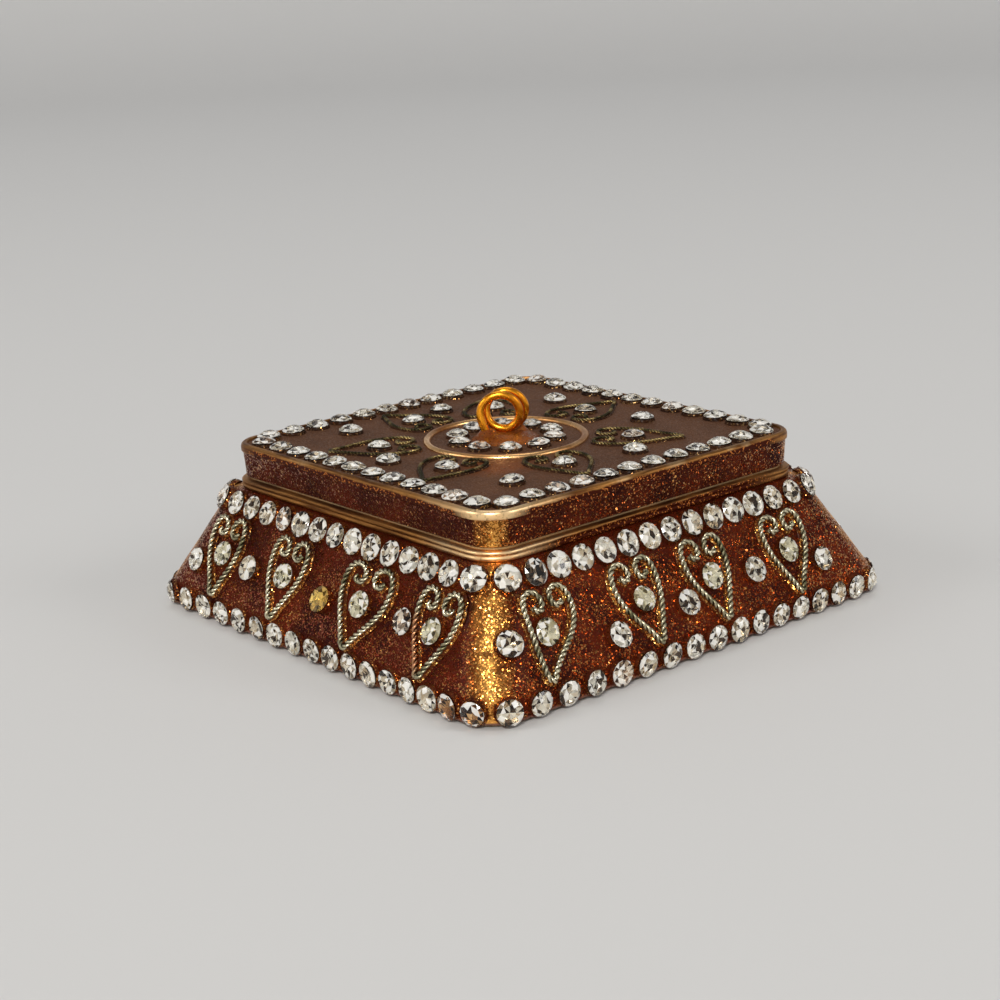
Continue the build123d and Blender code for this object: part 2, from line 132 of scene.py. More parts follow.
# Half a heart, as shares of its width and height: where the leg starts over the point, the places
# that the wire goes through up to its curled end, and its way in degrees at each. Then the slack
# of a hand-bent heart, and the fullness of the curve between two places.
LEG_START = (0.09, 0.075)
LEG_BOW = 4
LOBE = ((0.5, 0.77), (0.29, 1.0), (0.1, 0.88), (0.2, 0.78), (0.3, 0.84))
LOBE_WAYS = (90, 180, 270, 360, 440)
LOBE_SLACK = 0.012
WIDTH_SLACK = 0.03
FULLNESS = 0.39
CURVE_POINTS = 24

# A cut stone of unit radius: sides of its table, radii of the table, of the main facets above and
# of the ones below, heights of the table, the girdle and the bottom, and the girdle's thickness
TABLE_SIDES = 8
TABLE_RADIUS = 0.46
CROWN_RADIUS = 0.80
PAVILION_RADIUS = 0.45
STONE_HEIGHT = 0.68
STONE_GIRDLE = 0.30
GIRDLE_THICKNESS = 0.06
STONE_BOTTOM = 0.03

# How unevenly the stones are set: tip either way in degrees, least size and lift off the seat
STONE_TIP = 4
LEAST_STONE = 0.93
STONE_LIFT = 0.04 * mm

# The stones of the bottom row leave a strip of lac free below them, and their beds end level with
# the foot of the lac
BOTTOM_ROW_SIZE = 0.96
BED_FLOOR = 0.42 * mm

# The table of a stone stays clear. Of the other facets on top, this share is painted milky white as
# painted glints.
GLINT_SHARE = 0.36

# Places of the foils among a stone's finishes. Most stones have silver foil, and fewer have cream
# or rosy foil.
USUAL_FOILS = (1, 1, 1, 2, 2, 3)
LOST_FOIL = 4
DULLED_FOIL = 5

# Stones whose foil is lost or that lac has dulled: one in the top row beside the front corner, and
# two in the bottom row
ODD_STONES = {(31.3 * mm, -24.4 * mm, 16.2 * mm): LOST_FOIL,
              (30.8 * mm, -38.0 * mm, 2.15 * mm): DULLED_FOIL,
              (34.9 * mm, -37.3 * mm, 2.15 * mm): DULLED_FOIL}

# Cells in a metre of the fine and the coarse flakes in the lac
FINE_FLAKES = 6000.0
COARSE_FLAKES = 3400.0

# Painted highlight of gold on the corners of the lac, where light glances off them: between the
# flakes and in them
CORNER_HIGHLIGHT_GROUND = (0.42, 0.17, 0.022, 1)
CORNER_HIGHLIGHT_FLAKES = (0.96, 0.47, 0.10, 1)

# Bare rubbed lac under the bottom row of stones: its two browns, and the heights where it ends
BARE_DARK = (0.12, 0.050, 0.034, 1)
BARE_PALE = (0.24, 0.115, 0.085, 1)
BARE_TOP = (0.70 * mm, 0.95 * mm)

# The trims get a painted highlight, brightest towards the front corner
FRONT_CORNER = (30 * mm, -30 * mm, 20 * mm)

# The rubbed patch on the lid lies between the ring and the front corner, and the wire that has
# gone copper-brown is on the front, near that corner
WORN_PLACE = (11 * mm, -12 * mm, lid_level)
COPPER_PLACE = (21 * mm, -36.5 * mm, 7 * mm)


def mesh_piece(name, bm, material, body, nodes, sharp=35, smooth=True):
    """Make an object of a bmesh, riding on a body and standing for its CAD nodes."""
    data = bpy.data.meshes.new(name)
    for face in bm.faces:
        face.smooth = smooth
    bm.to_mesh(data)
    bm.free()
    if smooth:
        data.set_sharp_from_angle(angle=radians(sharp))
    materials = material if isinstance(material, list) else [material]
    for each in materials:
        data.materials.append(each)
    piece = bpy.data.objects.new(name, data)
    bpy.context.scene.collection.objects.link(piece)
    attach(piece, body)
    if nodes:
        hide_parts(*nodes)


def mesh_of(name, bm):
    """A plain mesh of a bmesh, to be copied from."""
    data = bpy.data.meshes.new(name)
    bm.to_mesh(data)
    bm.free()
    return data


def placed(origin, normal, up):
    """Matrix of a frame on a surface: Z along the normal, Y as near to up as it can be."""
    z = normal.normalized()
    y = (up - z * up.dot(z)).normalized()
    x = y.cross(z)
    matrix = Matrix((x, y, z)).transposed().to_4x4()
    matrix.translation = origin
    return matrix


def islands(node):
    """The separate solids of a CAD node, each as a list of merged vertices and their faces."""
    bm = bmesh.new()
    bm.from_mesh(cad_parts[node].data)
    bmesh.ops.remove_doubles(bm, verts=bm.verts, dist=1e-6)
    unseen = set(bm.verts)
    found = []
    while unseen:
        front = [unseen.pop()]
        verts = []
        while front:
            vert = front.pop()
            verts.append(vert)
            for edge in vert.link_edges:
                other = edge.other_vert(vert)
                if other in unseen:
                    unseen.remove(other)
                    front.append(other)
        found.append((verts, {face for vert in verts for face in vert.link_faces}))
    return bm, found


def stone_seats(node, up_of):
    """Where each stone of a node sits: a frame in the middle of its flat back, and its radius."""
    same_way = 0.999
    bm, found = islands(node)
    seats = []
    for verts, faces in found:
        def flat_area(way):
            """Area of the stone's faces that look one way."""
            return sum(face.calc_area() for face in faces if face.normal.dot(way) > same_way)
        back = max((face.normal for face in faces), key=flat_area).normalized()
        low = max(vert.co.dot(back) for vert in verts)
        rim = [vert.co for vert in verts if vert.co.dot(back) > low - 1e-5]
        middle = sum(rim, Vector()) / len(rim)
        seats.append((placed(middle, -back, up_of(middle)), (rim[0] - middle).length))
    bm.free()
    return sorted(seats, key=lambda seat: atan2(seat[0].translation.y, seat[0].translation.x))


def up_slope(point):
    """Upwards, for stones on the skirt."""
    return UP


def towards_centre(point):
    """Direction on the lid from a point to the centre of the pattern."""
    way = pattern_centre - point
    return way if hypot(way.x, way.y) > mm else Vector((0, 1, 0))


def copies(template, matrices, kinds=None, glint_slot=0):
    """One bmesh of a template at each matrix.

    With kinds, each copy gets its kind of foil behind it, and some facets get the painted glints."""
    bm = bmesh.new()
    facet = bm.faces.layers.float.new("facet")
    for i, matrix in enumerate(matrices):
        start = len(bm.verts)
        first = len(bm.faces)
        bm.from_mesh(template)
        bm.verts.ensure_lookup_table()
        bm.faces.ensure_lookup_table()
        bmesh.ops.transform(bm, matrix=matrix, verts=bm.verts[start:])
        if kinds:
            for face in bm.faces[first:]:
                face[facet] = hand.random()
                if face.material_index:
                    face.material_index = kinds[i]
                elif face[facet] < GLINT_SHARE and len(face.verts) < TABLE_SIDES:
                    face.material_index = glint_slot
    return bm


def add(tree, kind, settings=None, **inputs):
    """A shader node. An input given as a socket is linked, and any other value is set."""
    node = tree.nodes.new("ShaderNode" + kind)
    for key, value in (settings or {}).items():
        setattr(node, key, value)
    for key, value in inputs.items():
        index = int(key[1:]) if key[1:].isdigit() else key.replace("_", " ")
        socket = node.inputs[index]
        if isinstance(value, bpy.types.NodeSocket):
            tree.links.new(value, socket)
        else:
            socket.default_value = value
    return node


def link(tree, socket, target):
    """Join a socket to a target socket."""
    tree.links.new(socket, target)


def here(tree):
    """The place on the piece."""
    return add(tree, "TexCoord").outputs["Object"]


def maths(tree, operation, a, b=0.0):
    """A Math node's result."""
    return add(tree, "Math", {"operation": operation}, i0=a, i1=b).outputs[0]


def times(tree, a, b):
    """Two values multiplied."""
    return maths(tree, "MULTIPLY", a, b)


def vector_maths(tree, operation, **inputs):
    """A Vector Math node's outputs."""
    return add(tree, "VectorMath", {"operation": operation}, **inputs).outputs


def mixed(tree, factor, a, b):
    """Two colours mixed by a factor."""
    return add(tree, "Mix", {"data_type": "RGBA"}, i0=factor, i6=a, i7=b).outputs[2]


def spread(tree, value, low, high, to_low=0.0, to_high=1.0):
    """A value mapped from one range to another, and clamped."""
    return add(tree, "MapRange", i0=value, i1=low, i2=high, i3=to_low, i4=to_high).outputs[0]


def shader_group(name, inputs, outputs):
    """An empty node group with named float inputs and named outputs."""
    tree = bpy.data.node_groups.new(name, "ShaderNodeTree")
    for label, default in inputs.items():
        socket = tree.interface.new_socket(label, in_out="INPUT", socket_type="NodeSocketFloat")
        socket.default_value = default
    for label, kind in outputs.items():
        tree.interface.new_socket(label, in_out="OUTPUT", socket_type="NodeSocket" + kind)
    given = tree.nodes.new("NodeGroupInput").outputs
    return tree, given, tree.nodes.new("NodeGroupOutput").inputs


def flakes_group():
    """Glitter: cells the size of a flake, each with its own brightness, tone and tilt."""
    tree, given, result = shader_group(
        "Glitter flakes", {"Scale": 5000.0, "Share": 0.4, "Tilt": 0.8},
        {"Mask": "Float", "Tone": "Float", "Normal": "Vector"})
    cells = add(tree, "TexVoronoi", {"feature": "F1"}, Vector=here(tree), Scale=given["Scale"])
    colour = cells.outputs["Color"]
    parts = add(tree, "SeparateColor", Color=colour)
    link(tree, maths(tree, "GREATER_THAN", given["Share"], parts.outputs[0]), result["Mask"])
    link(tree, parts.outputs[1], result["Tone"])
    off = vector_maths(tree, "SUBTRACT", i0=colour, i1=(0.5, 0.5, 0.5))
    tilt = vector_maths(tree, "SCALE", i0=off[0], Scale=given["Tilt"])
    shape = add(tree, "NewGeometry").outputs["Normal"]
    leaning = vector_maths(tree, "ADD", i0=shape, i1=tilt[0])
    link(tree, vector_maths(tree, "NORMALIZE", i0=leaning[0])[0], result["Normal"])
    return tree


def patches_group():
    """Soft uneven patches from noise, as a mask between two levels."""
    tree, given, result = shader_group(
        "Uneven patches", {"Scale": 200.0, "Detail": 4.0, "Low": 0.4, "High": 0.6},
        {"Mask": "Float"})
    cloud = add(tree, "TexNoise", Vector=here(tree), Scale=given["Scale"], Detail=given["Detail"])
    link(tree, spread(tree, cloud.outputs[0], given["Low"], given["High"]), result["Mask"])
    return tree


def corners_group():
    """How near a point is to the middle of a rounded corner, and how far it is on the X sides."""
    tree, given, result = shader_group(
        "Near the corners", {"Low": 1.9, "High": 2.0}, {"Corner": "Float", "Side": "Float"})
    parts = add(tree, "SeparateXYZ", Vector=here(tree)).outputs
    x = maths(tree, "ABSOLUTE", parts["X"])
    y = maths(tree, "ABSOLUTE", parts["Y"])
    ratio = maths(tree, "DIVIDE", maths(tree, "ADD", x, y), maths(tree, "MAXIMUM", x, y))
    link(tree, spread(tree, ratio, given["Low"], given["High"]), result["Corner"])
    link(tree, spread(tree, maths(tree, "SUBTRACT", x, y), 1 * mm, 12 * mm), result["Side"])
    return tree


FLAKES = flakes_group()
PATCHES = patches_group()
CORNERS = corners_group()


def grouped(tree, group, **values):
    """A node group placed in a material with its own values."""
    node = add(tree, "Group", {"node_tree": group})
    for key, value in values.items():
        if isinstance(value, bpy.types.NodeSocket):
            link(tree, value, node.inputs[key])
        else:
            node.inputs[key].default_value = value
    return node.outputs


def patches(tree, scale, detail, low, high):
    """The mask of an uneven patches group."""
    return grouped(tree, PATCHES, Scale=scale, Detail=detail, Low=low, High=high)["Mask"]


def level(tree, low, high):
    """A mask that goes from 0 to 1 between two heights."""
    return spread(tree, add(tree, "SeparateXYZ", Vector=here(tree)).outputs["Z"], low, high)


def near(tree, spot, inner, outer):
    """A mask that is 1 round a place and fades to 0."""
    away = vector_maths(tree, "DISTANCE", i0=here(tree), i1=spot)["Value"]
    return spread(tree, away, outer, inner)


def bumped(tree, shader, scale, detail, strength, distance):
    """Fine relief from noise, on the shader's normal."""
    grain = add(tree, "TexNoise", Vector=here(tree), Scale=scale, Detail=detail)
    bump = add(tree, "Bump", Height=grain.outputs[0], Strength=strength, Distance=distance)
    link(tree, bump.outputs[0], shader.inputs["Normal"])


def material(name):
    """An empty material with its tree and its Principled shader."""
    made = bpy.data.materials.new(name)
    made.use_nodes = True
    return made, made.node_tree, made.node_tree.nodes["Principled BSDF"]


def glitter_lac(name, dark, warm, flake_dark, flake_bright, share, corner_highlight=0.0,
                bare_foot=False, coat=0.03):
    """Dark glossy lac full of metal flakes that each catch the light on their own, with a painted
    gold highlight on the corners.
    """
    made, tree, shader = material(name)
    ground = mixed(tree, patches(tree, 230.0, 5.0, 0.35, 0.68), dark, warm)
    # Painted highlight: the corners get gold between the flakes and in them, with more, flatter and
    # rougher flakes there
    corner = grouped(tree, CORNERS, Low=1.88, High=1.99)["Corner"]
    gold = times(tree, corner, patches(tree, 500.0, 4.0, 0.25, 0.6))
    painted_highlight = times(tree, gold, corner_highlight)
    crowd = spread(tree, patches(tree, 330.0, 3.0, 0.3, 0.7), 0, 1, share * 0.45, share * 1.5)
    crowd = maths(tree, "ADD", crowd, painted_highlight)
    tilt = spread(tree, gold, 0, 1, 1.0, 0.6)
    ground = mixed(tree, painted_highlight, ground, CORNER_HIGHLIGHT_GROUND)
    fine = grouped(tree, FLAKES, Scale=FINE_FLAKES, Share=crowd, Tilt=tilt)
    coarse = grouped(tree, FLAKES, Scale=COARSE_FLAKES, Share=share * 0.13, Tilt=0.8)
    mask = maths(tree, "MAXIMUM", fine["Mask"], coarse["Mask"])
    tone = mixed(tree, maths(tree, "POWER", fine["Tone"], 3.0), flake_dark, flake_bright)
    tone = mixed(tree, times(tree, gold, 0.85), tone, CORNER_HIGHLIGHT_FLAKES)
    colour = mixed(tree, mask, ground, tone)
    metal = maths(tree, "MAXIMUM", times(tree, mask, 0.95), painted_highlight)
    if bare_foot:
        clear = level(tree, *BARE_TOP)
        foot = mixed(tree, patches(tree, 700.0, 4.0, 0.3, 0.7), BARE_DARK, BARE_PALE)
        colour = mixed(tree, clear, foot, colour)
        metal = times(tree, metal, clear)
    link(tree, colour, shader.inputs["Base Color"])
    link(tree, metal, shader.inputs["Metallic"])
    rough = maths(tree, "ADD", spread(tree, mask, 0, 1, 0.38, 0.15), times(tree, gold, 0.14))
    link(tree, rough, shader.inputs["Roughness"])
    normal = add(tree, "Mix", {"data_type": "VECTOR"},
                 i0=coarse["Mask"], i4=fine["Normal"], i5=coarse["Normal"])
    link(tree, normal.outputs[1], shader.inputs["Normal"])
    shader.inputs["Specular IOR Level"].default_value = 0.05
    shader.inputs["Coat Weight"].default_value = coat
    shader.inputs["Coat Roughness"].default_value = 0.2
    return made


def matt_lac(name):
    """Dusty brown lac of the lid's top, with a rubbed orange patch towards the front corner."""
    made, tree, shader = material(name)
    ground = mixed(tree, patches(tree, 180.0, 6.0, 0.3, 0.7),
                   (0.054, 0.020, 0.008, 1), (0.096, 0.037, 0.015, 1))
    dust = patches(tree, 3200.0, 2.0, 0.35, 0.65)
    ground = mixed(tree, times(tree, dust, 0.45), ground, (0.130, 0.056, 0.025, 1))
    grain = grouped(tree, FLAKES, Scale=6500.0, Share=0.22, Tilt=0.6)
    grained = mixed(tree, times(tree, grain["Mask"], 0.4), ground, (0.26, 0.13, 0.070, 1))
    worn = near(tree, WORN_PLACE, 2.5 * mm, 6.5 * mm)
    worn = times(tree, worn, patches(tree, 420.0, 5.0, 0.25, 0.45))
    link(tree, mixed(tree, worn, grained, (0.15, 0.036, 0.003, 1)), shader.inputs["Base Color"])
    link(tree, times(tree, grain["Mask"], 0.25), shader.inputs["Metallic"])
    link(tree, spread(tree, worn, 0, 1, 0.6, 0.42), shader.inputs["Roughness"])
    link(tree, grain["Normal"], shader.inputs["Normal"])
    shader.inputs["Specular IOR Level"].default_value = 0.15
    return made


def trim_brass(name, lac_level, sides_only, rise):
    """Brass trim: rubbed bright and given a painted highlight on the corners, brown and streaky
    along the sides, lac-covered low down.

    The lac reaches a level that rises away from the front corner."""
    made, tree, shader = material(name)
    place = here(tree)
    corner = grouped(tree, CORNERS, Low=1.50, High=1.88)
    front = near(tree, FRONT_CORNER, 14 * mm, 48 * mm)
    long = add(tree, "Mapping", Vector=place, Scale=(150.0, 150.0, 4200.0)).outputs[0]
    streaks = add(tree, "TexNoise", Vector=long, Scale=1.0, Detail=3.0).outputs[0]
    dull = mixed(tree, spread(tree, streaks, 0.38, 0.62),
                 (0.14, 0.050, 0.014, 1), (0.46, 0.21, 0.055, 1))
    bright = mixed(tree, patches(tree, 300.0, 4.0, 0.35, 0.75),
                   (1.0, 0.72, 0.39, 1), (0.98, 0.58, 0.25, 1))
    # Rubbing and painted highlight: bright brass on the corners, weighted strongly to the front
    # corner that faces the lamps, and on random rubbed patches
    worn = times(tree, corner["Corner"], spread(tree, front, 0, 1, 0.05, 1.0))
    worn = maths(tree, "MAXIMUM", worn, times(tree, patches(tree, 130.0, 4.0, 0.60, 0.76), 0.6))
    metal = mixed(tree, worn, dull, bright)
    specks = times(tree, patches(tree, 1900.0, 3.0, 0.56, 0.7), 0.4)
    metal = mixed(tree, specks, metal, (0.12, 0.055, 0.020, 1))
    ragged = add(tree, "TexNoise", Vector=place, Scale=420.0).outputs[0]
    ragged = times(tree, ragged, 0.5 * mm)
    height = add(tree, "SeparateXYZ", Vector=place).outputs["Z"]
    far = near(tree, FRONT_CORNER, 60 * mm, 12 * mm)
    height = maths(tree, "SUBTRACT", height, times(tree, far, rise))
    low = spread(tree, maths(tree, "ADD", height, ragged),
                 lac_level + 0.35 * mm, lac_level + 0.15 * mm)
    bend = grouped(tree, CORNERS, Low=1.76, High=1.90)["Corner"]
    away = maths(tree, "SUBTRACT", 1.0, bend)
    lac = times(tree, low, times(tree, away, corner["Side"]) if sides_only else away)
    flake = grouped(tree, FLAKES, Scale=FINE_FLAKES, Share=0.14, Tilt=0.9)
    coat = mixed(tree, flake["Mask"], (0.046, 0.0060, 0.0012, 1), (0.50, 0.16, 0.035, 1))
    link(tree, mixed(tree, lac, metal, coat), shader.inputs["Base Color"])
    link(tree, spread(tree, lac, 0, 1, 1.0, 0.3), shader.inputs["Metallic"])
    link(tree, spread(tree, worn, 0, 1, 0.45, 0.36), shader.inputs["Roughness"])
    shader.inputs["Specular IOR Level"].default_value = 0.06
    bumped(tree, shader, 1400.0, 3.0, 0.10, 0.1 * mm)
    return made


def worn_metal(name, bright, dull, rough, scale, low, high, speck=0.35, patch=None, crevice_shade=None,
               metal=1.0):
    """Worn metal: bright under uneven tarnish, with an optional patch and painted shade in the
    hollows.
    """
    made, tree, shader = material(name)
    cloud = patches(tree, scale, 5.0, low, high)
    colour = mixed(tree, cloud, bright, dull)
    dirt = times(tree, patches(tree, 2400.0, 3.0, 0.5, 0.75), speck)
    colour = mixed(tree, dirt, colour, (0.06, 0.035, 0.015, 1))
    if patch:
        spot, tint = patch
        colour = mixed(tree, near(tree, spot, 3.5 * mm, 5.0 * mm), colour, tint)
    if crevice_shade:
        # Painted shade: near-black colour where ambient occlusion finds the surface closed in, as
        # between the strands
        shut = add(tree, "AmbientOcclusion", {"only_local": True, "samples": 6}, Distance=crevice_shade)
        clear = spread(tree, shut.outputs["AO"], 0.35, 0.85)
        colour = mixed(tree, clear, (0.020, 0.016, 0.008, 1), colour)
    link(tree, colour, shader.inputs["Base Color"])
    link(tree, spread(tree, cloud, 0, 1, rough, rough + 0.15), shader.inputs["Roughness"])
    bumped(tree, shader, 1500.0, 3.0, 0.12, 0.1 * mm)
    shader.inputs["Metallic"].default_value = metal
    return made


def glass(name, tint, rough, clear=1.0):
    """Cut glass, clear or partly a milky white for facets that carry painted glints."""
    made, tree, shader = material(name)
    shader.inputs["Base Color"].default_value = tint
    shader.inputs["IOR"].default_value = 1.5
    shader.inputs["Transmission Weight"].default_value = clear
    haze = spread(tree, patches(tree, 1500.0, 3.0, 0.5, 0.7), 0, 1, rough, rough + 0.10)
    link(tree, haze, shader.inputs["Roughness"])
    return made


def foil(name, bright, mid, dark, shade, shine):
    """Crumpled foil behind a stone, with painted glints and painted shade: each facet is painted
    bright, mid or dark at random, and some of it is aged.
    """
    made, tree, shader = material(name)
    facet = add(tree, "Attribute", {"attribute_name": "facet"}).outputs["Fac"]
    cells = add(tree, "TexVoronoi", {"feature": "F1"}, Vector=here(tree), Scale=1500.0)
    parts = add(tree, "SeparateColor", Color=cells.outputs["Color"]).outputs
    # Painted glints and painted shade: facets over shine are painted white and less metallic,
    # facets under shade are painted near-black
    lit = maths(tree, "GREATER_THAN", facet, shine)
    tone = mixed(tree, spread(tree, parts[1], 0.3, 0.7, 0.0, 0.6), mid, bright)
    tone = mixed(tree, lit, tone, bright)
    tone = mixed(tree, maths(tree, "LESS_THAN", facet, shade), tone, dark)
    link(tree, tone, shader.inputs["Base Color"])
    polish = maths(tree, "FRACT", times(tree, facet, 7.0))
    link(tree, spread(tree, polish, 0, 1, 0.12, 0.35), shader.inputs["Roughness"])
    link(tree, spread(tree, lit, 0, 1, 0.85, 0.25), shader.inputs["Metallic"])
    bumped(tree, shader, 1100.0, 2.0, 0.55, 0.12 * mm)
    return made


skirt_finish = glitter_lac(
    "Glitter lac of the skirt", (0.022, 0.0017, 0.0004, 1), (0.085, 0.0088, 0.0012, 1),
    (0.37, 0.042, 0.004, 1), (1.0, 0.55, 0.16, 1), 0.37, corner_highlight=0.68, bare_foot=True)
lid_side_finish = glitter_lac(
    "Glitter lac of the lid", (0.023, 0.0024, 0.0006, 1), (0.070, 0.0085, 0.0015, 1),
    (0.26, 0.040, 0.006, 1), (1.0, 0.52, 0.16, 1), 0.26, corner_highlight=0.52)
wire_bed_finish = glitter_lac(
    "Golden lac by the wires", (0.032, 0.005, 0.0015, 1), (0.11, 0.024, 0.004, 1),
    (0.50, 0.17, 0.03, 1), (1.0, 0.62, 0.20, 1), 0.46)
stone_bed_finish = glitter_lac(
    "Lac round the stones", (0.030, 0.004, 0.0010, 1), (0.095, 0.016, 0.0030, 1),
    (0.30, 0.080, 0.015, 1), (1.0, 0.56, 0.17, 1), 0.30)
dark_bed_finish = glitter_lac(
    "Dark lac by the lid's stones", (0.016, 0.006, 0.003, 1), (0.045, 0.016, 0.006, 1),
    (0.26, 0.12, 0.04, 1), (0.90, 0.55, 0.22, 1), 0.18)
pad_finish = glitter_lac(
    "Brown lac of the eye", (0.085, 0.018, 0.003, 1), (0.26, 0.072, 0.010, 1),
    (0.34, 0.10, 0.02, 1), (0.95, 0.50, 0.14, 1), 0.10, coat=0.25)
lid_top_finish = matt_lac("Matt lac of the lid")
edging_finish = trim_brass("Worn brass of the edging", 23.82 * mm, False, 0.14 * mm)
band_finish = trim_brass("Worn brass of the mouth band", 18.80 * mm, True, 0.36 * mm)
ring_finish = worn_metal(
    "Copper-gold ring", (0.90, 0.52, 0.22, 1), (0.42, 0.17, 0.05, 1), 0.25, 120.0, 0.42, 0.62)
eye_finish = worn_metal(
    "Golden eye wire", (1.0, 0.39, 0.024, 1), (0.60, 0.18, 0.010, 1), 0.24, 300.0, 0.48, 0.8,
    speck=0.12)
wire_finish = worn_metal(
    "Tarnished heart wire", (0.70, 0.63, 0.44, 1), (0.17, 0.155, 0.080, 1), 0.26, 420.0, 0.42,
    0.66, patch=(COPPER_PLACE, (0.50, 0.24, 0.12, 1)), crevice_shade=0.4 * mm)
lid_wire_finish = worn_metal(
    "Dark heart wire", (0.46, 0.33, 0.13, 1), (0.042, 0.035, 0.015, 1), 0.28, 420.0, 0.36, 0.56,
    crevice_shade=0.4 * mm)
collar_finish = worn_metal(
    "Brass collar", (0.75, 0.48, 0.20, 1), (0.40, 0.22, 0.08, 1), 0.3, 160.0, 0.4, 0.7)
sheet_finish = worn_metal(
    "Dull sheet metal", (0.52, 0.38, 0.20, 1), (0.28, 0.18, 0.085, 1), 0.45, 120.0, 0.4, 0.7,
    metal=0.35)
clear_glass = glass("Clear cut glass", (1.0, 0.97, 0.90, 1), 0.02)
hazy_glass = glass("Hazy green glass", (1.0, 0.98, 0.86, 1), 0.08)
amber_glass = glass("Amber glass", (1.0, 0.70, 0.20, 1), 0.03)
# Painted glints: milky white crown facets that stand in for the lamps glinting in the stones
glint_glass = glass("Glass with painted glints", (1.0, 0.98, 0.92, 1), 0.05, clear=0.38)
glint_amber_glass = glass("Amber glass with painted glints", (1.0, 0.62, 0.16, 1), 0.06, clear=0.9)
foils = [
    foil("Silver foil", (1.0, 0.98, 0.92, 1), (0.78, 0.67, 0.50, 1), (0.055, 0.028, 0.011, 1),
         0.30, 0.62),
    foil("Cream foil", (1.0, 0.95, 0.84, 1), (0.66, 0.52, 0.34, 1), (0.055, 0.028, 0.011, 1),
         0.33, 0.66),
    foil("Rosy foil", (1.0, 0.90, 0.78, 1), (0.62, 0.44, 0.30, 1), (0.080, 0.034, 0.016, 1),
         0.34, 0.72),
    foil("Lost foil", (0.75, 0.60, 0.45, 1), (0.07, 0.035, 0.015, 1), (0.014, 0.008, 0.004, 1),
         0.42, 0.92),
    foil("Dulled foil", (0.85, 0.52, 0.22, 1), (0.36, 0.15, 0.040, 1), (0.045, 0.016, 0.005, 1),
         0.40, 0.85)]
aged_foils = [
    foil("Aged green foil", (1.0, 0.95, 0.80, 1), (0.66, 0.60, 0.42, 1), (0.13, 0.10, 0.04, 1),
         0.22, 0.66)]


def stone_template():
    """A cut stone of unit radius: table, star and main facets, girdle and foil-backed pavilion."""
    bm = bmesh.new()
    crown_height = STONE_GIRDLE + (STONE_HEIGHT - STONE_GIRDLE) * 0.58
    pavilion_height = STONE_BOTTOM + (STONE_GIRDLE - STONE_BOTTOM) * 0.38
    rings = ((TABLE_SIDES, TABLE_RADIUS, STONE_HEIGHT, 0),
             (TABLE_SIDES, CROWN_RADIUS, crown_height, 0.5),
             (2 * TABLE_SIDES, 1.0, STONE_GIRDLE + GIRDLE_THICKNESS, 0),
             (2 * TABLE_SIDES, 1.0, STONE_GIRDLE, 0),
             (TABLE_SIDES, PAVILION_RADIUS, pavilion_height, 0.5),
             (1, 0.0, STONE_BOTTOM, 0))
    for count, radius, z, turn in rings:
        for i in range(count):
            a = 2 * pi * (i + turn) / count
            bm.verts.new((radius * cos(a), radius * sin(a), z))
    hull = bmesh.ops.convex_hull(bm, input=bm.verts)
    bmesh.ops.delete(bm, geom=hull["geom_interior"], context="VERTS")
    bmesh.ops.dissolve_limit(bm, angle_limit=radians(1), verts=bm.verts, edges=bm.edges)
    for face in bm.faces:
        face.material_index = 1 if face.normal.z < -0.01 else 0
    return mesh_of("cut stone", bm)


def spun(profile, steps):
    """A turned shape from points given as radius and height, round the Z axis."""
    bm = bmesh.new()
    verts = [bm.verts.new((radius, 0, z)) for radius, z in profile]
    edges = [bm.edges.new(pair) for pair in zip(verts, verts[1:])]
    bmesh.ops.spin(bm, geom=verts + edges, axis=UP, cent=(0, 0, 0), angle=2 * pi, steps=steps,
                   use_merge=True)
    bmesh.ops.remove_doubles(bm, verts=bm.verts, dist=1e-8)
    return bm


def bed_template():
    """The low rim of lac that a stone is pressed into, of unit radius."""
    profile = ((0.88, -0.10), (0.91, STONE_GIRDLE * 0.80), (0.98, STONE_GIRDLE * 0.85),
               (1.03, STONE_GIRDLE * 0.5), (1.08, 0.02), (1.09, -0.10), (0.88, -0.10))
    bm = spun(profile, 20)
    bmesh.ops.remove_doubles(bm, verts=bm.verts, dist=1e-4)
    bmesh.ops.recalc_face_normals(bm, faces=bm.faces)
    return mesh_of("stone bed", bm)


cut_stone = stone_template()
stone_bed = bed_template()


def set_stones(node, body, up_of, glass_finish, backs, bed_finish, size=1.0):
    """Cut stones in lac beds for one CAD group of stones, each turned and backed in its own way."""
    matrices = []
    beds = []
    kinds = []
    for seat, radius in stone_seats(node, up_of):
        tip = Matrix.Rotation(radians(hand.uniform(-STONE_TIP, STONE_TIP)), 4, "X")
        tip = tip @ Matrix.Rotation(radians(hand.uniform(-STONE_TIP, STONE_TIP)), 4, "Y")
        turn = Matrix.Rotation(hand.uniform(0, 2 * pi), 4, "Z")
        grown = radius * size * hand.uniform(LEAST_STONE, 1.0)
        lift = Matrix.Translation((0, 0, STONE_LIFT))
        matrices.append(seat @ lift @ tip @ turn @ Matrix.Scale(grown, 4))
        beds.append(seat @ Matrix.Scale(radius * size, 4))
        kind = hand.choice(USUAL_FOILS) if len(backs) > 1 else 1
        for spot, odd in ODD_STONES.items():
            if (seat.translation - Vector(spot)).length < 2 * mm:
                kind = odd
        kinds.append(kind)
    # Painted glints: the milky finish for the facets that stand in for glints
    worn = glint_amber_glass if glass_finish == amber_glass else glint_glass
    finishes = [glass_finish] + backs + [worn]
    cut = copies(cut_stone, matrices, kinds, len(finishes) - 1)
    mesh_piece(node + "_cut", cut, finishes, body, [node], smooth=False)
    rims = copies(stone_bed, beds)
    everything = rims.verts[:] + rims.edges[:] + rims.faces[:]
    bmesh.ops.bisect_plane(rims, geom=everything, plane_co=UP * BED_FLOOR, plane_no=UP,
                           clear_inner=True)
    bmesh.ops.holes_fill(rims, edges=rims.edges, sides=0)
    mesh_piece(node + "_beds", rims, bed_finish, body, [], sharp=60)


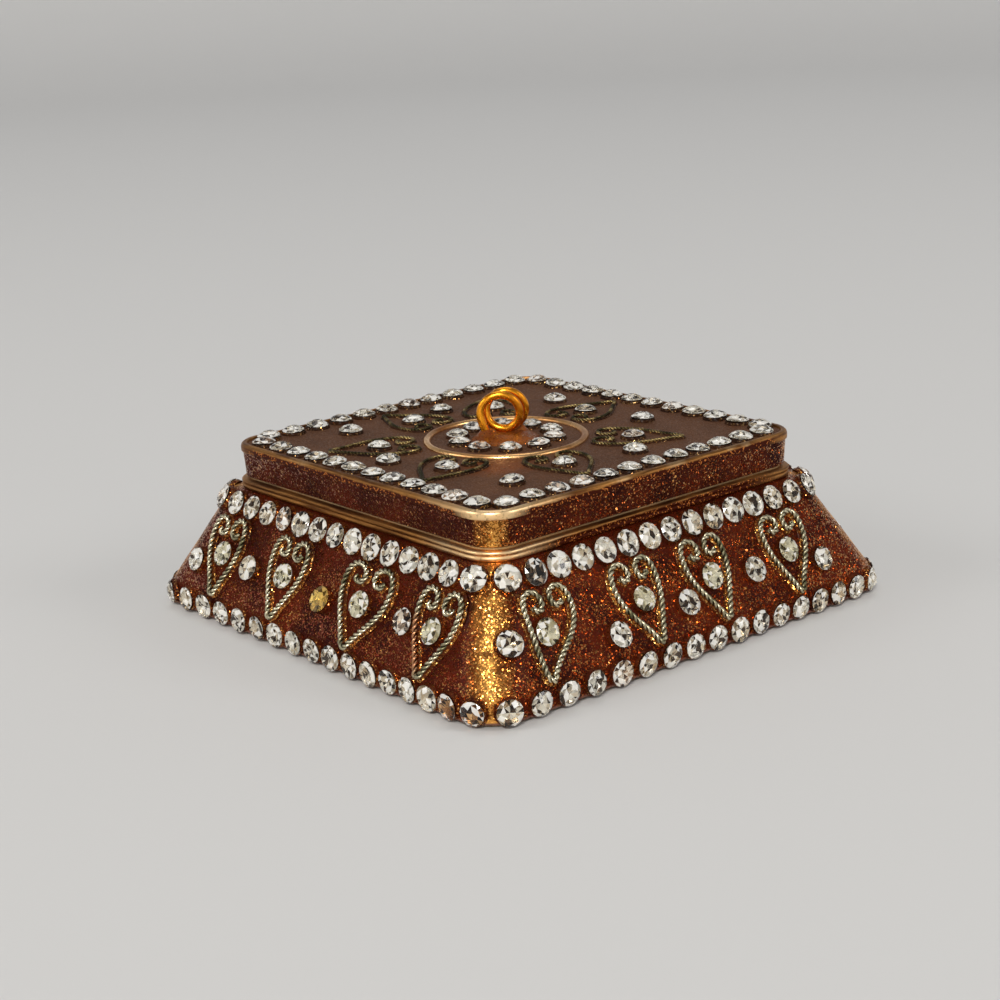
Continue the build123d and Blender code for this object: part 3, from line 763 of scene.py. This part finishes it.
def bezier_path(knots, step):
    """Evenly spaced points on a smooth curve through knots given as a point and a direction."""
    dense = [knots[0][0]]
    for (start, way), (end, end_way) in zip(knots, knots[1:]):
        reach = FULLNESS * (end - start).length
        handles = (start, start + way * reach, end - end_way * reach, end)
        dense += interpolate_bezier(*handles, CURVE_POINTS)[1:]
    lengths = [0.0]
    for a, b in zip(dense, dense[1:]):
        lengths.append(lengths[-1] + (b - a).length)
    count = round(lengths[-1] / step)
    points = []
    k = 0
    for i in range(count + 1):
        along = lengths[-1] * i / count
        while k < len(dense) - 2 and lengths[k + 1] < along:
            k += 1
        share = (along - lengths[k]) / (lengths[k + 1] - lengths[k])
        points.append(dense[k].lerp(dense[k + 1], share))
    return points


def wire_mesh(strands, radius, roundness):
    """Round wire along lists of points, as one mesh with closed ends."""
    data = bpy.data.curves.new("wire", "CURVE")
    data.dimensions = "3D"
    data.bevel_depth = radius
    data.bevel_resolution = roundness
    data.use_fill_caps = True
    for points in strands:
        spline = data.splines.new("POLY")
        spline.points.add(len(points) - 1)
        for spot, point in zip(spline.points, points):
            spot.co = (*point, 1)
    wire = bpy.data.objects.new("wire", data)
    made = bpy.data.meshes.new_from_object(wire)
    bpy.data.objects.remove(wire)
    bpy.data.curves.remove(data)
    bm = bmesh.new()
    bm.from_mesh(made)
    bmesh.ops.remove_doubles(bm, verts=bm.verts, dist=1e-7)
    bm.to_mesh(made)
    bm.free()
    return made


def heart_path(width, height, lean, step):
    """Middle line of a heart's wire, from one curled end down to the point and up to the other."""
    halves = []
    for side in (-1, 1):
        wider = hand.uniform(1 - WIDTH_SLACK, 1 + WIDTH_SLACK)
        lobe = [(x * wider + hand.uniform(-LOBE_SLACK, LOBE_SLACK),
                 y + hand.uniform(-LOBE_SLACK, LOBE_SLACK)) for x, y in LOBE]
        places = [Vector((lean + side * LEG_START[0] * width, LEG_START[1] * height, 0))]
        places += [Vector((side * x * width, y * height, 0)) for x, y in lobe]
        leg = places[1] - places[0]
        angles = (degrees(atan2(leg.y, side * leg.x)) - LEG_BOW, *LOBE_WAYS)
        halves.append([(place, Vector((cos(radians(a)), side * sin(radians(a)), 0)))
                       for place, a in zip(places, angles)])
    point = (Vector((lean, 0, 0)), Vector((1, 0, 0)))
    return bezier_path(halves[0][::-1] + [point] + halves[1], step)


def strand(path, radius, phase):
    """One strand of a two-strand wire laid round a path that lies flat."""
    points = []
    for i, middle in enumerate(path):
        along = path[min(i + 1, len(path) - 1)] - path[max(i - 1, 0)]
        aside = UP.cross(along).normalized()
        a = 2 * pi * i / LAY_STEPS + phase
        points.append(middle + (aside * cos(a) + UP * sin(a)) * radius)
    return points


def heart_frame(node, side_frame):
    """Frame at the point of a CAD heart, and the heart's width, height and lean along its wire."""
    inverse = side_frame.inverted()
    points = [inverse @ vertex.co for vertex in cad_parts[node].data.vertices]
    lowest = min(points, key=lambda p: p.y)
    left = min(p.x for p in points)
    right = max(p.x for p in points)
    top = max(p.y for p in points)
    floor = min(p.z for p in points)
    middle = (left + right) / 2
    matrix = side_frame.copy()
    matrix.translation = side_frame @ Vector((middle, lowest.y + FRAME_WIRE / 2, floor))
    return matrix, right - left - FRAME_WIRE, top - lowest.y - FRAME_WIRE, lowest.x - middle


def wire_heart(node, body, side_frame, finish, bed_finish, thick, overhang):
    """A heart of two twisted strands for a CAD heart, with the lac that holds it."""
    matrix, width, height, lean = heart_frame(node, side_frame)
    matrix = matrix @ Matrix.Translation((0, -overhang, 0))
    step = thick * LAY_SHARE / LAY_STEPS
    flat = heart_path(width, height + HEART_STRETCH * overhang, lean, step)
    radius = thick * STRAND_SHARE
    raised = [point + UP * (thick / 2) for point in flat]
    laid = [strand(raised, thick / 2 - radius, phase) for phase in (0, pi)]
    twisted = copies(wire_mesh(laid, radius, 2), [matrix])
    mesh_piece(node + "_twisted", twisted, finish, body, [node], sharp=60)
    half = thick * HEART_BED_SHARE
    squashed = matrix @ Matrix.Diagonal((1, 1, HEART_BED_HEIGHT / half, 1))
    bed = copies(wire_mesh([flat[::3]], half, 3), [squashed])
    mesh_piece(node + "_bed", bed, bed_finish, body, [], sharp=60)


def rounded_loop(bm, half, radius, z):
    """Add the outline of a rounded square at one height, and return its edges."""
    loop = bmesh.new()
    bmesh.ops.create_grid(loop, x_segments=1, y_segments=1, size=half)
    bmesh.ops.bevel(loop, geom=loop.verts[:], offset=radius, segments=CORNER_SEGMENTS,
                    profile=0.5, affect="VERTICES", material=-1)
    straight = sorted(loop.edges, key=lambda edge: edge.calc_length())[-4:]
    bmesh.ops.subdivide_edges(loop, edges=straight, cuts=STRAIGHT_CUTS)
    bmesh.ops.delete(loop, geom=loop.faces[:], context="FACES_ONLY")
    bmesh.ops.translate(loop, verts=loop.verts, vec=(0, 0, z))
    data = mesh_of("outline", loop)
    start = len(bm.edges)
    bm.from_mesh(data)
    bpy.data.meshes.remove(data)
    bm.edges.ensure_lookup_table()
    return bm.edges[start:]


def shell(levels):
    """Rounded squares given as half side, corner radius and height, bridged into a closed shell.

    They are bridged while they are spread out in height, because two outlines in one plane get
    crossed."""
    bm = bmesh.new()
    loops = [rounded_loop(bm, half, radius, i * mm)
             for i, (half, radius, z) in enumerate(levels)]
    for a, b in zip(loops, loops[1:] + loops[:1]):
        bmesh.ops.bridge_loops(bm, edges=a + b)
    for vert in bm.verts:
        vert.co.z = levels[round(vert.co.z / mm)][2]
    bmesh.ops.recalc_face_normals(bm, faces=bm.faces)
    return bm


def lumpy(bm, lumps, keep):
    """Push the surface in and out a little, as lac laid on by hand, where keep says so."""
    amount, size = lumps
    bm.normal_update()
    moves = [(v, v.normal * (noise.noise(v.co / size) * amount)) for v in bm.verts]
    for v, move in moves:
        if keep(v.co):
            v.co += move


def divided(levels, step):
    """Add levels between the given ones, so that none is further apart than a step."""
    out = [levels[0]]
    for a, b in zip(levels, levels[1:]):
        count = max(1, round(hypot(b[0] - a[0], b[2] - a[2]) / step))
        for i in range(1, count + 1):
            t = i / count
            out.append(tuple(p + (q - p) * t for p, q in zip(a, b)))
    return out


def skirt_coat():
    """Lac over the flare: a foot edge, the slope, a soft break and the shoulder."""
    half = coat_high.x
    foot = coat_low.z
    top = coat_high.z
    upper = band_high.x + BAND_STEP + SHOULDER_WIDTH
    break_z = top - SHOULDER_RISE
    neck = -band_low.x - NECK_DEPTH
    inner_radius = FOOT_RADIUS - LAC_THICKNESS
    outer = [(half - FOOT_CHAMFER, FOOT_RADIUS - FOOT_CHAMFER, foot)]
    slope = divided([(half, FOOT_RADIUS, foot + 0.2 * mm),
                     (half, FOOT_RADIUS, foot + FOOT_EDGE - 0.3 * mm),
                     (half - 0.1 * mm, FOOT_RADIUS, foot + FOOT_EDGE + 0.1 * mm),
                     (upper, SHOULDER_RADIUS, break_z)], 0.8 * mm)
    shoulder = [(upper - 0.3 * mm, SHOULDER_RADIUS - 0.2 * mm, break_z + 0.25 * mm),
                (band_high.x + BAND_STEP, MOUTH_RADIUS + BAND_STEP, top)]
    inner = [(neck, MOUTH_RADIUS - NECK_DEPTH, top),
             (upper - LAC_THICKNESS, SHOULDER_RADIUS - LAC_THICKNESS, break_z),
             (wall_half, inner_radius, foot + FOOT_EDGE), (wall_half, inner_radius, foot)]
    bm = shell(outer + slope + shoulder + inner)
    lumpy(bm, SKIRT_LUMPS, lambda co: foot + mm < co.z < break_z)
    mesh_piece("skirt_lac_coat", bm, skirt_finish, "box", ["skirt_lac"])


def lid_side_coat():
    """Lac round the side of the lid, a little wider towards the top."""
    low, high = side_low.z, side_high.z
    half = side_high.x
    bottom = half - 0.25 * mm
    corner = MOUTH_RADIUS - (band_high.x - half)
    back_corner = corner - (half - plate_half)
    slope = divided([(bottom, corner - 0.25 * mm, low + 0.15 * mm), (half, corner, high)],
                    0.6 * mm)
    lip = [(plate_half, back_corner, low), (bottom - 0.2 * mm, corner - 0.45 * mm, low)]
    bm = shell(lip + slope + [(plate_half, back_corner, high)])
    lumpy(bm, LID_SIDE_LUMPS, lambda co: low + 0.2 * mm < co.z < high - 0.1 * mm)
    mesh_piece("lid_side_lac_coat", bm, lid_side_finish, "lid", ["lid_side_lac"])


def ring_of(profile, centre):
    """A closed strip round the mouth from a profile of half sides and heights."""
    return shell([(half, half - centre, z) for half, z in profile])


def outside(place, half):
    """Whether a place lies outside an upright square."""
    return max(abs(place.x), abs(place.y)) > half + 0.2 * mm


def mouth_band():
    """Brass band under the lid: two beads with a groove between them."""
    half, low, high = band_high.x, band_low.z, band_high.z
    back = half - BAND_DEPTH
    beads = ((0.28, 0.0), (0.06, 0.12), (0.0, 0.32), (0.04, 0.54), (0.12, 0.66), (0.12, 0.76),
             (0.05, 0.88), (0.0, 1.08), (0.05, 1.26))
    face = [(half - inwards * mm, low + rise * mm) for inwards, rise in beads]
    bm = ring_of([(back, low)] + face + [(half - 0.26 * mm, high), (back, high)],
                 half - MOUTH_RADIUS)
    lumpy(bm, BAND_DENTS,
          lambda co: low + 0.1 * mm < co.z < high - 0.1 * mm and outside(co, back))
    mesh_piece("mouth_band_beaded", bm, band_finish, "box", ["mouth_band"], sharp=50)


def lid_edging():
    """Brass edging of the lid: a flat strip turned over the top in a soft roll."""
    half, low, high = trim_high.x, trim_low.z, trim_high.z
    back = plate_half
    strip = ((0.12, 0.0), (0.02, 0.10), (0.0, 0.40), (0.02, 0.75), (0.12, 1.02))
    face = [(half - inwards * mm, low + rise * mm) for inwards, rise in strip]
    roll = [(half - 0.32 * mm, high - 0.06 * mm), (half - 0.55 * mm, high),
            (back + 0.08 * mm, high - 0.05 * mm), (back, high - 0.2 * mm)]
    bm = ring_of([(back, low)] + face + roll, band_high.x - MOUTH_RADIUS)
    lumpy(bm, EDGING_DENTS, lambda co: co.z > low + 0.05 * mm and outside(co, back))
    mesh_piece("lid_edging_rolled", bm, edging_finish, "lid", ["lid_edging"], sharp=50)


def lid_ring():
    """Ring of wire on the lid, sunk a little into the lac and not quite even."""
    amount, length = RING_WAVES
    bm = bmesh.new()
    bmesh.ops.create_circle(bm, segments=12, radius=RING_WIRE_RADIUS)
    bmesh.ops.rotate(bm, verts=bm.verts, matrix=Matrix.Rotation(pi / 2, 3, "X"))
    bmesh.ops.translate(bm, verts=bm.verts, vec=(ring_high.x - RING_WIRE_RADIUS, 0, 0))
    bmesh.ops.spin(bm, geom=bm.verts[:] + bm.edges[:], axis=UP, cent=(0, 0, 0), angle=2 * pi,
                   steps=120, use_merge=True)
    bmesh.ops.recalc_face_normals(bm, faces=bm.faces)
    for vert in bm.verts:
        outwards = Vector((vert.co.x, vert.co.y, 0)).normalized()
        vert.co += outwards * noise.noise(vert.co / length) * amount
    bmesh.ops.translate(bm, verts=bm.verts, vec=pattern_centre - UP * RING_SUNK)
    mesh_piece("lid_ring_wire", bm, ring_finish, "lid", ["lid_ring"], sharp=80)


def eye_seat():
    """Lumpy pad of lac that beds the foot of the eye."""
    low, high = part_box("lid_eye_seat")
    radius = high.x
    height = high.z - low.z
    profile = [(0, -0.05 * mm), (radius, -0.05 * mm), (radius - 0.05 * mm, 0.12 * mm),
               (radius - 0.6 * mm, height * 0.7), (radius - 1.5 * mm, height * 1.4),
               (radius - 2.5 * mm, height * 2.0), (radius - 3.4 * mm, height * 1.9),
               (0, height * 1.6)]
    bm = spun(profile, 48)
    bmesh.ops.recalc_face_normals(bm, faces=bm.faces)
    bmesh.ops.translate(bm, verts=bm.verts, vec=pattern_centre)
    lumpy(bm, PAD_LUMPS, lambda co: co.z > low.z + 0.1 * mm)
    mesh_piece("lid_eye_pad", bm, pad_finish, "lid", ["lid_eye_seat"], sharp=60)


def leg_mounds():
    """Lumps of lac heaped round the two legs of the eye."""
    ring = [v.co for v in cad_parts["lid_eye"].data.vertices
            if abs(v.co.z - lid_level - LEG_TOP) < 0.1 * mm]
    mound = [(0, 0.1 * mm), (2.0 * mm, 0.1 * mm), (1.85 * mm, 0.50 * mm), (1.40 * mm, 1.0 * mm),
             (0.95 * mm, 1.45 * mm), (0, 1.6 * mm)]
    for name, side in (("left", -1), ("right", 1)):
        leg = [co for co in ring if (co.x + co.y - pattern_centre.y) * side > 0]
        middle = sum(leg, Vector()) / len(leg)
        bm = spun(mound, 32)
        bmesh.ops.recalc_face_normals(bm, faces=bm.faces)
        bmesh.ops.translate(bm, verts=bm.verts, vec=(middle.x, middle.y, lid_level))
        lumpy(bm, MOUND_LUMPS, lambda co: co.z > lid_level + 0.3 * mm)
        mesh_piece(f"lid_eye_mound_{name}", bm, pad_finish, "lid", [], sharp=60)


def eye_wire():
    """The coil of the eye: the CAD node's own shape, merged and shaded smooth."""
    bm = bmesh.new()
    bm.from_mesh(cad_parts["lid_eye"].data)
    bmesh.ops.remove_doubles(bm, verts=bm.verts, dist=1e-7)
    mesh_piece("lid_eye_wire", bm, eye_finish, "lid", ["lid_eye"], sharp=60)


def camera():
    """The camera at the photograph's viewing angle."""
    around, above, roll = CAMERA_AROUND, CAMERA_ABOVE, CAMERA_ROLL
    back = Vector((sin(around) * cos(above), -cos(around) * cos(above), sin(above)))
    right = Vector((cos(around), sin(around), 0))
    up = back.cross(right)
    across = right * cos(roll) + up * sin(roll)
    upright = up * cos(roll) - right * sin(roll)
    data = bpy.data.cameras.new("camera")
    data.lens = LENS
    data.sensor_width = SENSOR
    data.clip_start = 10 * mm
    made = bpy.data.objects.new("camera", data)
    matrix = Matrix((across, upright, back)).transposed().to_4x4()
    matrix.translation = back * CAMERA_DISTANCE - right * CAMERA_SHIFT[0] - up * CAMERA_SHIFT[1]
    made.matrix_world = matrix
    bpy.context.scene.collection.objects.link(made)
    bpy.context.scene.camera = made


def lamp(name, around, above, width, height, watts, colour):
    """A soft rectangular light on an orbit, facing the casket."""
    a = CAMERA_AROUND + radians(around)
    e = radians(above)
    spot = Vector((sin(a) * cos(e), -cos(a) * cos(e), sin(e))) * LAMP_DISTANCE
    data = bpy.data.lights.new(name, "AREA")
    data.shape = "RECTANGLE"
    data.size = width
    data.size_y = height
    data.energy = watts
    data.color = colour
    made = bpy.data.objects.new(name, data)
    made.matrix_world = placed(spot, spot, UP)
    bpy.context.scene.collection.objects.link(made)


def stage():
    """Pale floor, pale world and soft studio lights."""
    bm = spun(FLOOR_PROFILE, 96)
    bmesh.ops.recalc_face_normals(bm, faces=bm.faces)
    under = [face for face in bm.faces if face.normal.z < 0]
    bmesh.ops.reverse_faces(bm, faces=under)
    for face in bm.faces:
        face.smooth = True
    data = mesh_of("floor", bm)
    floor = bpy.data.objects.new("floor", data)
    made, tree, shader = material("Pale floor")
    shader.inputs["Base Color"].default_value = (0.66, 0.65, 0.63, 1)
    shader.inputs["Roughness"].default_value = 0.8
    data.materials.append(made)
    bpy.context.scene.collection.objects.link(floor)
    world = bpy.data.worlds.new("studio")
    world.use_nodes = True
    tree = world.node_tree
    sky = tree.nodes["Background"]
    way = add(tree, "TexCoord").outputs["Generated"]
    height = add(tree, "SeparateXYZ", Vector=way).outputs["Z"]
    tone = mixed(tree, spread(tree, height, 0.0, 0.8), (0.70, 0.70, 0.71, 1), (0.30, 0.31, 0.33, 1))
    link(tree, tone, sky.inputs["Color"])
    sky.inputs["Strength"].default_value = 0.7
    bpy.context.scene.world = world
    for name, values in LAMPS.items():
        lamp(name, *values)
    bpy.context.scene.view_settings.view_transform = "Standard"


def sides():
    """The hearts and stones of the four sides, with the stones along the lid's edges."""
    run = band_high.x + BAND_STEP + SHOULDER_WIDTH - coat_high.x
    rise = coat_high.z - SHOULDER_RISE - coat_low.z - FOOT_EDGE
    outward = Vector((rise, 0, -run)).normalized()
    along = Vector((0, 1, 0))
    # X along the right side, Y up its slope and Z out of it
    right_frame = Matrix((along, outward.cross(along), outward)).transposed().to_4x4()
    for side, turn in SIDE_TURNS.items():
        side_frame = Matrix.Rotation(radians(turn), 4, "Z") @ right_frame
        for i in range(4):
            wire_heart(f"{side}_heart_wire_{i + 1}", "box", side_frame, wire_finish,
                       wire_bed_finish, SKIRT_WIRE, HEART_OVERHANG)
        for kind in ("bottom_row_stones", "top_row_stones", "single_stones"):
            size = BOTTOM_ROW_SIZE if kind == "bottom_row_stones" else 1.0
            set_stones(f"{side}_{kind}", "box", up_slope, clear_glass, foils,
                       stone_bed_finish, size)
        set_stones(f"{side}_heart_stones", "box", up_slope, hazy_glass, aged_foils,
                   stone_bed_finish)
        set_stones(f"lid_{side}_edge_stones", "lid", towards_centre, clear_glass, foils,
                   dark_bed_finish)
    set_stones("front_amber_stone", "box", up_slope, amber_glass, aged_foils,
               stone_bed_finish)


def lid_pattern():
    """The stones and the hearts on top of the lid."""
    for kind in ("centre", "heart", "single"):
        set_stones(f"lid_{kind}_stones", "lid", towards_centre, clear_glass, foils,
                   dark_bed_finish)
    for node in sorted(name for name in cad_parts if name.startswith("lid_heart_wire_")):
        spots = [vertex.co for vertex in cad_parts[node].data.vertices]
        way = pattern_centre - sum(spots, Vector()) / len(spots)
        wire_heart(node, "lid", placed(Vector(), UP, way), lid_wire_finish, dark_bed_finish,
                   LID_WIRE, 0)


camera()
stage()
skirt_coat()
lid_side_coat()
mouth_band()
lid_edging()
lid_ring()
eye_seat()
leg_mounds()
eye_wire()
sides()
lid_pattern()

# The CAD nodes that keep their own shape get their finishes
plain_nodes = {"body_wall": sheet_finish, "base_plate": sheet_finish, "lid_shell": sheet_finish,
               "locating_collar": collar_finish, "lid_top_lac": lid_top_finish}
for node, finish in plain_nodes.items():
    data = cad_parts[node].data
    data.materials.clear()
    data.materials.append(finish)
